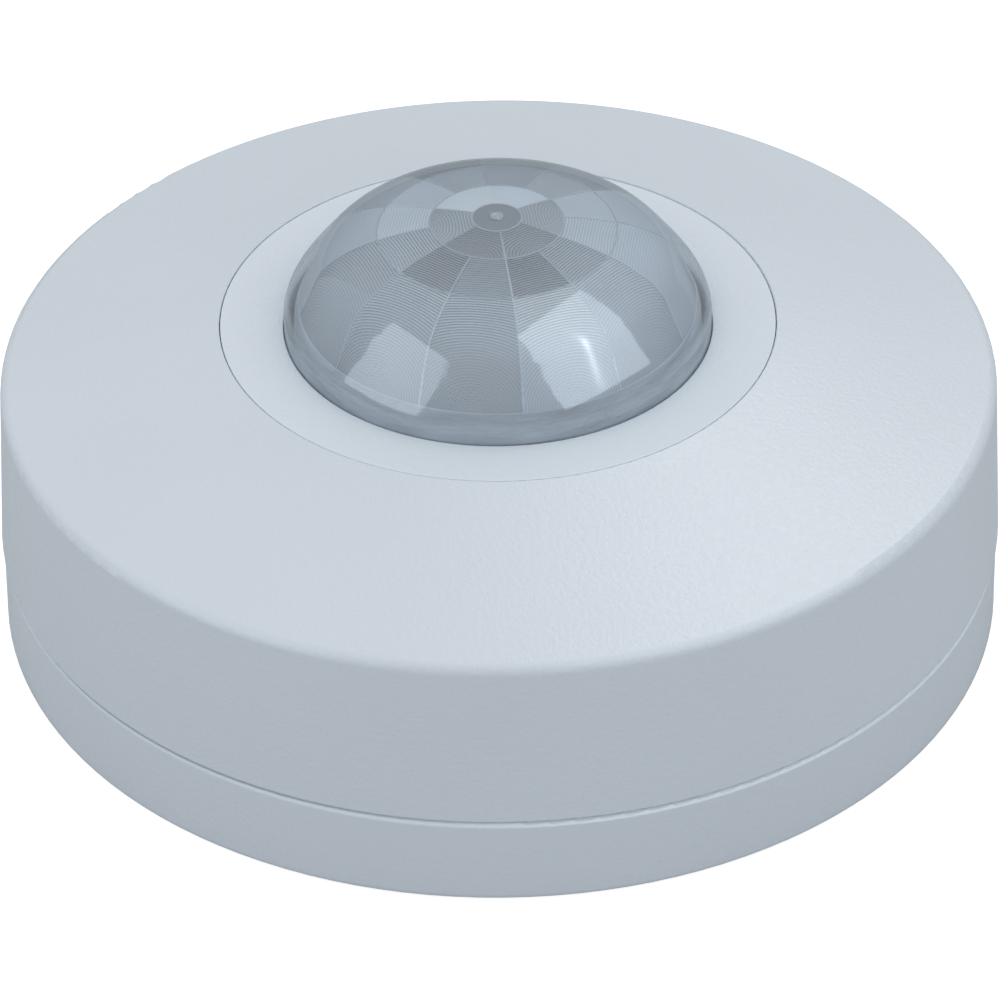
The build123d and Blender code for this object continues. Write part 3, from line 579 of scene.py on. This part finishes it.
def groove_cell(azimuths, arcs, centre, slope_rate, tone, contrast, fade):
    """One Fresnel cell: circular facets about an optical centre on its middle azimuth."""
    middle = (azimuths[0] + azimuths[1]) / 2
    half = math.radians((azimuths[1] - azimuths[0]) / 2)
    limits = ((0, azimuths[0], False), (0, azimuths[1], True),
              (1, arcs[0], False), (1, arcs[1], True))
    reach = [math.hypot(across, arc - centre) for arc in np.linspace(*arcs, 9)
             for across in np.linspace(-half, half, 9) * float(dome_radius(arc))]
    first = max(int(min(reach) / PITCH) - 1, 0)
    for number in range(first, int(max(reach) / PITCH) + 2):
        rows, faces = groove_ring(number, middle, centre, limits, slope_rate)
        if not faces:
            continue
        azimuth, arc, depth, ridge = np.array(rows).T
        along = (arc - arcs[0]) / (arcs[1] - arcs[0])
        # the painted groove shade shows fully from a radius of 14 mm
        strength = 0.35 + 0.65 * min((number + 0.5) * PITCH / 14.0, 1.0)
        # tone: milkiness with painted light and shade per cell; fade paints shade from the cell's
        # inner to its outer edge
        lens.add(on_dome(azimuth, arc, depth + thicker(arc)), faces, INNER, ridge=ridge,
                 tone=tone * (1 + fade * (0.5 - along)), steep=contrast * strength)


def land_depth(arc):
    return SKIN + thicker(arc)


def line_top_depth(arc):
    return SKIN - LINE_RISE + thicker(arc)


def rim_band_depth(arc):
    share = np.clip((arc - RIM_LINE) / (RIM_END - RIM_LINE), 0, 1)
    return SKIN + RIM_DEPTH - (SKIN + RIM_DEPTH - RIM_WALL) * share


def smooth_patch(azimuths, arcs, steps, depth_at, **values):
    """A plain patch of the inner face; steps are round and along."""
    round_steps, arc_steps = steps
    azimuth, arc = np.meshgrid(np.linspace(*azimuths, round_steps + 1),
                               np.linspace(*arcs, arc_steps + 1), indexing="ij")
    azimuth, arc = azimuth.ravel(), arc.ravel()
    row = arc_steps + 1
    corners = [i * row + j for i in range(round_steps) for j in range(arc_steps)]
    faces = [[a, a + row, a + row + 1, a + 1] for a in corners]
    lens.add(on_dome(azimuth, arc, depth_at(arc)), faces, INNER, **values)


def line_wall(azimuths, arcs, tone):
    """Side wall of a raised line, along the given stations."""
    count = len(arcs)
    points = np.concatenate([on_dome(azimuths, arcs, line_top_depth(arcs)),
                             on_dome(azimuths, arcs, SKIN + LINE_ROOT + thicker(arcs))])
    faces = [[j, j + 1, count + 1 + j, count + j] for j in range(count - 1)]
    lens.add(points, faces, INNER, tone=tone, land=1.0)


def meridian_line(azimuth, half_width, arcs, tone):
    """Raised line that runs towards the rim."""
    steps = 24
    half_width *= MERIDIAN_WIDEN
    edges = (azimuth - half_width, azimuth + half_width)
    smooth_patch(edges, arcs, (1, steps), line_top_depth, tone=tone, land=1.0)
    for edge in edges:
        line_wall(np.full(steps + 1, edge), np.linspace(*arcs, steps + 1), tone)


def ring_line(arc, tone):
    """Raised line that runs round the dome."""
    steps = 240
    edges = (arc - LINE * RING_WIDEN, arc + LINE * RING_WIDEN)
    smooth_patch((-180, 180), edges, (steps, 1), line_top_depth, tone=tone, land=1.0)
    for edge in edges:
        line_wall(np.linspace(-180, 180, steps + 1), np.full(steps + 1, edge), tone)


def cell_ring(start, end, ring):
    """One ring of cells between two ring lines, with its meridian lines."""
    tones = ring["tones"]
    step = 360.0 / len(tones)
    half_line = math.degrees(LINE / float(dome_radius((start + end) / 2)))
    for i, tone in enumerate(tones):
        azimuth = FIRST_AZIMUTH + i * step
        groove_cell((azimuth + half_line, azimuth + step - half_line),
                    (start + LINE, end - LINE), ring["centre"], ring["slope"],
                    tone, ring["contrasts"][i], ring["fade"])
        # the line's tone: the two cells' mean plus a painted highlight
        line_tone = min(ring["boosts"][i] + (tone + tones[i - 1]) / 2, 0.95)
        meridian_line(azimuth, half_line, (start + LINE_INSET, end - LINE_INSET), line_tone)


def outer_skin(azimuths):
    """Smooth outside, with the small relief at the apex."""
    relief_arcs, relief_depths = zip(*APEX_RELIEF)
    stations = np.concatenate([relief_arcs, np.linspace(1.5, DOME_END, 90),
                               np.linspace(DOME_END + 0.3, RIM_END, 6)])
    depths = np.interp(stations, relief_arcs, relief_depths)
    row = len(stations)
    azimuth, arc = np.meshgrid(azimuths, stations, indexing="ij")
    depth = np.broadcast_to(depths, azimuth.shape).ravel()
    azimuth, arc = azimuth.ravel(), arc.ravel()
    faces = []
    for i in range(SKIN_STEPS):
        a, b = i * row, (i + 1) % SKIN_STEPS * row
        faces.append([0, a + 1, b + 1])
        faces += [[a + j, a + j + 1, b + j + 1, b + j] for j in range(1, row - 1)]
    # the milky rim look comes in from just above the rim line to just below it
    rim_start = arc_at(23.3)
    rim_share = np.clip((arc - rim_start) / (RIM_LINE + 0.9 - rim_start), 0, 1)
    lens.add(on_dome(azimuth, arc, depth), faces, OUTER, land=2.0 * rim_share,
             gate=np.where(arc < GATE_ARC, 1.0, 0.0))


def flange(azimuths):
    """Flange under the bezel, and the closing ring to the inside."""
    bore = RIM_RADIUS - RIM_WALL
    section = [(RIM_RADIUS, FLANGE_TOP), (FLANGE_RADIUS, FLANGE_TOP),
               (FLANGE_RADIUS, FLANGE_BOTTOM), (bore, FLANGE_BOTTOM), (bore, FLANGE_TOP)]
    points = [(radius * math.cos(math.radians(a)), radius * math.sin(math.radians(a)), z)
              for radius, z in section for a in azimuths]
    faces = []
    for k in range(len(section) - 1):
        this, below = k * SKIN_STEPS, (k + 1) * SKIN_STEPS
        for i in range(SKIN_STEPS):
            after = (i + 1) % SKIN_STEPS
            faces.append([below + i, below + after, this + after, this + i])
    lens.add(points, faces, OUTER, land=2.0)


for start, end, ring in zip(RING_ARCS, RING_ARCS[1:], CELL_RINGS):
    cell_ring(start, end, ring)
for arc, tone in zip(RING_ARCS, RING_TONES):
    ring_line(arc, tone)
# apex disc and rim band, plain inside
smooth_patch((-180, 180), (0.0, APEX_LINE - LINE), (96, 8), land_depth, tone=0.33)
smooth_patch((-180, 180), (RIM_LINE + LINE, RIM_END), (240, 10), rim_band_depth,
             tone=0.60, land=2.0)
skin_azimuths = np.linspace(-180, 180, SKIN_STEPS, endpoint=False)
outer_skin(skin_azimuths)
flange(skin_azimuths)


# ----------------------------------------------------------- lens materials
def lens_outer():
    """Glossy outer skin of clear milky polyethylene: a mirror-like coat over a thin haze."""
    tree = new_material("lens_outer_skin")
    vector = tree.coords()
    haze = tree.noise(vector, scale=45.0)
    land = tree.attribute("land")
    gate = tree.attribute("gate")
    lean = tree.facing()
    # clear plastic, darker where it is seen edge on
    clear_tint = tree.mix(tree.math("POWER", lean, 6.0),
                          (0.99, 0.995, 1.0, 1), (0.50, 0.55, 0.60, 1))
    clear = tree.node("ShaderNodeBsdfTransparent", Color=clear_tint)
    milk_color = lin(206, 218, 229)
    milk = tree.mix_shader(0.3, tree.node("ShaderNodeBsdfDiffuse", Color=milk_color),
                           tree.node("ShaderNodeBsdfTranslucent", Color=milk_color))
    # amount of milk: haze, more at the rim and on the apex spot, with streaks round the rim
    amount = tree.plus(tree.remap(haze, to=(0.12, 0.20)), tree.times(land, 0.17))
    amount = tree.plus(amount, tree.times(gate, 0.62))
    streak = tree.remap(tree.ring_streaks(vector, squash=7.0, scale=120.0),
                        span=(0.32, 0.68), to=(-0.09, 0.09))
    amount = tree.plus(amount, tree.times(land, streak))
    # the milkiness gathers where the wall is seen edge on
    gathered = tree.times(tree.math("POWER", lean, 3.0), 0.45)
    base = tree.mix_shader(tree.plus(amount, gathered, clamp=True), clear, milk)
    # the coat reflects on the front of the faces only, and more at the edge
    gloss = tree.node("ShaderNodeBsdfGlossy", Roughness=0.06)
    edge = tree.math("POWER", tree.facing(), 4.0)
    coat = tree.plus(0.16, tree.times(edge, 0.26))
    geometry = tree.node("ShaderNodeNewGeometry")
    front = tree.math("SUBTRACT", 1.0, geometry.outputs["Backfacing"])
    tree.surface(tree.mix_shader(tree.times(coat, front), base, gloss))
    return tree.owner


def lens_inner():
    """The grooved inner face: each cell has its own milky tone, with painted light and shade per
    cell and painted shade across each facet.
    """
    tree = new_material("lens_inner_grooves")
    vector = tree.coords()
    tone = tree.attribute("tone")
    ridge = tree.attribute("ridge")
    steep = tree.attribute("steep")
    land = tree.attribute("land")
    # painted shade: each facet runs from light at its inner edge to dark at its riser
    facet_shade = tree.math("SUBTRACT", 0.5, ridge)
    depth = tree.times(steep, 0.50)
    cloud = tree.noise(vector, scale=130.0, detail=4.0)
    depth = tree.times(depth, tree.remap(cloud, to=(0.7, 1.25)))
    level = tree.times(tone, tree.plus(1.0, tree.times(facet_shade, depth)))
    soft = tree.noise(vector, scale=60.0)
    level = tree.times(level, tree.remap(soft, to=(0.94, 1.07)))
    # long faint streaks round the plain rim band
    streak = tree.remap(tree.ring_streaks(vector, squash=9.0, scale=110.0),
                        span=(0.35, 0.68), to=(-0.16, 0.28))
    band = tree.times(streak, tree.times(land, 0.5))
    level = tree.times(level, tree.plus(1.0, band))
    # cool tint
    tint = tree.node("ShaderNodeCombineColor", Red=tree.times(level, 0.875, clamp=True),
                     Green=tree.times(level, 1.01, clamp=True),
                     Blue=tree.times(level, 1.15, clamp=True))
    body = tree.node("ShaderNodeBsdfPrincipled", Roughness=0.45, IOR=1.4, Base_Color=tint)
    through = tree.node("ShaderNodeBsdfTranslucent", Color=tint)
    solid = tree.mix_shader(0.12, body, through)
    clear = tree.node("ShaderNodeBsdfTransparent", Color=(0.95, 0.97, 0.99, 1))
    see_through = tree.remap(land, span=(0.0, 2.0), to=(0.05, 0.16))
    tree.surface(tree.mix_shader(see_through, solid, clear))
    return tree.owner


dome = lens.build("fresnel_dome", [lens_outer(), lens_inner()], smooth_angle=22.0)
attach(dome, "head")
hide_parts("fresnel_lens")

# ------------------------------------------------------------------- camera
CAMERA_PLACE = Vector((0, -465.979, 354.947)) * MM
CAMERA_RIGHT = Vector((0.99994423, -0.00630602, -0.00847124))
CAMERA_UP = Vector((0.01056059, 0.59394102, 0.80443927))
CAMERA_FORWARD = Vector((0.0000414, 0.80448387, -0.59397449))


def add_camera():
    data = bpy.data.cameras.new("camera")
    data.sensor_width = 36.0
    data.lens = 180.18
    data.clip_start = 0.05
    data.clip_end = 20
    camera = link_object("camera", data)
    turn = Matrix((CAMERA_RIGHT, CAMERA_UP, -CAMERA_FORWARD)).transposed()
    camera.matrix_world = Matrix.Translation(CAMERA_PLACE) @ turn.to_4x4()
    scene.camera = camera


add_camera()

# ---------------------------------------------------------- floor and world
FLOOR_HALF, FLOOR_Z = 3.0, -0.0006


def floor_paper():
    """Grey paper to the lights, near white to the camera."""
    tree = new_material("floor_paper")
    cloud = tree.noise(tree.coords(), scale=40.0)
    tint = tree.mix(tree.remap(cloud, to=(0, 1)), (0.52, 0.53, 0.54, 1), (0.55, 0.56, 0.57, 1))
    paper = tree.node("ShaderNodeBsdfDiffuse", Color=tint)
    glow = tree.node("ShaderNodeEmission", Color=(1, 1, 1, 1), Strength=0.86)
    both = tree.node("ShaderNodeAddShader")
    tree.feed(both.inputs[0], paper)
    tree.feed(both.inputs[1], glow)
    rays = tree.node("ShaderNodeLightPath")
    tree.surface(tree.mix_shader(rays.outputs["Is Camera Ray"], paper, both))
    return tree.owner


def add_floor():
    mesh = bpy.data.meshes.new("floor")
    corners = [(-1, -1), (1, -1), (1, 1), (-1, 1)]
    mesh.from_pydata([(x * FLOOR_HALF, y * FLOOR_HALF, FLOOR_Z) for x, y in corners],
                     [], [(0, 1, 2, 3)])
    floor = link_object("floor", mesh)
    mesh.materials.append(floor_paper())


add_floor()

# world colour from straight down to straight up: (ramp position, colour)
SKY = [(0.0, (0.40, 0.42, 0.45, 1)), (0.5, (0.56, 0.60, 0.64, 1)),
       (0.68, (0.81, 0.83, 0.85, 1)), (1.0, (1.00, 1.01, 1.02, 1))]


def add_world():
    """A room that brightens upwards, and plain white to the camera."""
    world = bpy.data.worlds.new("studio")
    scene.world = world
    tree = Tree(world, "ShaderNodeOutputWorld")
    raw = tree.node("ShaderNodeTexCoord")
    place = tree.node("ShaderNodeSeparateXYZ", Vector=raw.outputs["Generated"])
    height = tree.remap(place.outputs["Z"], span=(-1, 1), to=(0, 1))
    ramp = tree.node("ShaderNodeValToRGB", Fac=height)
    stops = ramp.color_ramp.elements
    stops[0].color, stops[1].color = SKY[0][1], SKY[-1][1]
    for position, color in SKY[1:-1]:
        stops.new(position).color = color
    rays = tree.node("ShaderNodeLightPath")
    # mirror-like reflections see a room half as bright, so that the softboxes stand out
    strength = tree.math("MULTIPLY_ADD", rays.outputs["Is Glossy Ray"], -0.5, 1.0)
    room = tree.node("ShaderNodeBackground", Color=ramp, Strength=strength)
    white = tree.node("ShaderNodeBackground", Color=(1, 1, 1, 1))
    tree.surface(tree.mix_shader(rays.outputs["Is Camera Ray"], room, white))


add_world()

# ------------------------------------------------------------------- lights
# softbox outlines: (x, y, z), metres
RIGHT = [(0.1437, -0.2651, 1.1721), (0.2256, 0.0124, 1.2235), (0.3083, 0.2105, 1.2339),
         (0.3893, 0.4166, 1.2502), (0.4763, 0.6055, 1.2514), (0.5713, 0.3555, 1.0229),
         (0.6927, 0.1340, 0.7802), (0.8551, -0.0440, 0.5151), (0.9192, -0.0572, 0.4393),
         (0.9413, -0.0428, 0.4226), (1.0051, -0.0523, 0.3489), (0.9103, -0.1997, 0.3770),
         (0.8296, -0.3382, 0.3945), (0.7671, -0.4643, 0.3984), (0.7152, -0.6018, 0.3853),
         (0.6654, -0.7511, 0.3639), (0.6139, -0.9231, 0.3328), (0.4132, -0.7095, 0.6572),
         (0.3139, -0.7472, 0.7455)]
LEFT = [(-0.6938, 0.0196, 0.8694), (-0.5970, -0.2134, 0.8054), (-0.5065, -0.4749, 0.7026),
        (-0.4119, -0.6767, 0.6653), (-0.4475, -0.6416, 0.6394), (-0.4817, -0.6450, 0.5778),
        (-0.5597, -0.7190, 0.3726), (-0.7566, -0.9008, -0.1405), (-0.7979, -0.6945, -0.0083),
        (-0.8843, -0.4939, 0.0418), (-0.9578, -0.3104, 0.0969), (-1.0650, -0.1363, 0.0856),
        (-0.9509, -0.1164, 0.2991), (-0.8995, -0.1034, 0.3992), (-0.8557, -0.1269, 0.4505),
        (-0.7945, -0.1411, 0.5406)]
WALL = [(-0.9695, 0.0203, 0.0915), (-0.8740, 0.0434, 0.2998), (-0.8506, 0.0523, 0.3515),
        (-0.8081, 0.0739, 0.4462), (-0.6413, 0.3893, 0.8615), (-0.7528, 0.5789, 0.6588),
        (-0.9668, 0.8538, 0.2530), (-1.1088, 1.0982, 0.0046), (-1.0251, 0.5277, 0.0076),
        (-0.9913, 0.1585, 0.0206)]
LOWEST = 0.004    # outline points are lifted to at least this height


def direction(azimuth, elevation):
    a, e = math.radians(azimuth), math.radians(elevation)
    return Vector((math.cos(e) * math.cos(a), math.cos(e) * math.sin(a), math.sin(e)))


def streak_strength(tree, strength, start, end, normal, extra, half_width):
    """Emission strength that rises by `extra` along a soft streak from start to end."""
    raw = tree.node("ShaderNodeTexCoord")
    start, end = Vector(start), Vector(end)
    along = (end - start).normalized()
    across = normal.normalized().cross(along).normalized()
    squares = []
    for axis, size in ((across, half_width), (along, (end - start).length / 2)):
        offset = tree.vector_math("SUBTRACT", raw.outputs["Object"], tuple((start + end) / 2))
        dot = tree.vector_math("DOT_PRODUCT", offset, tuple(axis))
        share = tree.math("ABSOLUTE", tree.math("DIVIDE", dot.outputs["Value"], size))
        squares.append(tree.math("POWER", share, 2.0))
    spread = tree.times(tree.plus(*squares), 2.0)
    glow = tree.math("POWER", tree.math("DIVIDE", 1.0, tree.plus(1.0, spread)), 1.6)
    return tree.plus(tree.times(glow, extra), strength)


def softbox(name, outline, strength, streak=None):
    """A flat panel seen only in reflections, with an optional brighter streak."""
    mesh = bpy.data.meshes.new(name)
    mesh.from_pydata([(x, y, max(z, LOWEST)) for x, y, z in outline], [],
                     [tuple(range(len(outline)))])
    panel = link_object(name, mesh)
    tree = new_material(name + "_light")
    emission = tree.node("ShaderNodeEmission", Color=(0.90, 0.99, 1.08, 1.0), Strength=strength)
    if streak:
        tree.feed(emission.inputs["Strength"], streak_strength(tree, strength, **streak))
    tree.surface(emission)
    mesh.materials.append(tree.owner)
    panel.visible_camera = False
    panel.visible_diffuse = False


softbox("softbox_right", RIGHT, strength=1.75,
        streak=dict(start=(0.53, -0.24, 0.78), end=(0.715, -0.47, 0.46),
                    normal=direction(azimuth=-25, elevation=40), extra=3.8, half_width=0.04))
softbox("softbox_left", LEFT, strength=1.50)
softbox("softbox_wall", WALL, strength=0.62)


def shoulder_kicker():
    """A soft light from the back right that only glances off the cover's shoulder."""
    aim, distance = Vector((0.027, -0.034, 0.03)), 1.2
    data = bpy.data.lights.new("shoulder_kicker", "AREA")
    data.size = 0.42
    data.energy = 3.6
    kicker = bpy.data.objects.new("shoulder_kicker", data)
    toward = direction(azimuth=60, elevation=54)
    kicker.location = aim + toward * distance
    kicker.rotation_euler = toward.to_track_quat("Z", "Y").to_euler()
    scene.collection.objects.link(kicker)
    kicker.visible_diffuse = False
    kicker.visible_camera = False
    receivers = bpy.data.collections.new("shoulder_only")
    receivers.objects.link(NODES["outer_cover"])
    kicker.light_linking.receiver_collection = receivers


shoulder_kicker()

scene.view_settings.view_transform = "Standard"
scene.view_settings.look = "None"
scene.view_settings.exposure = 0.0
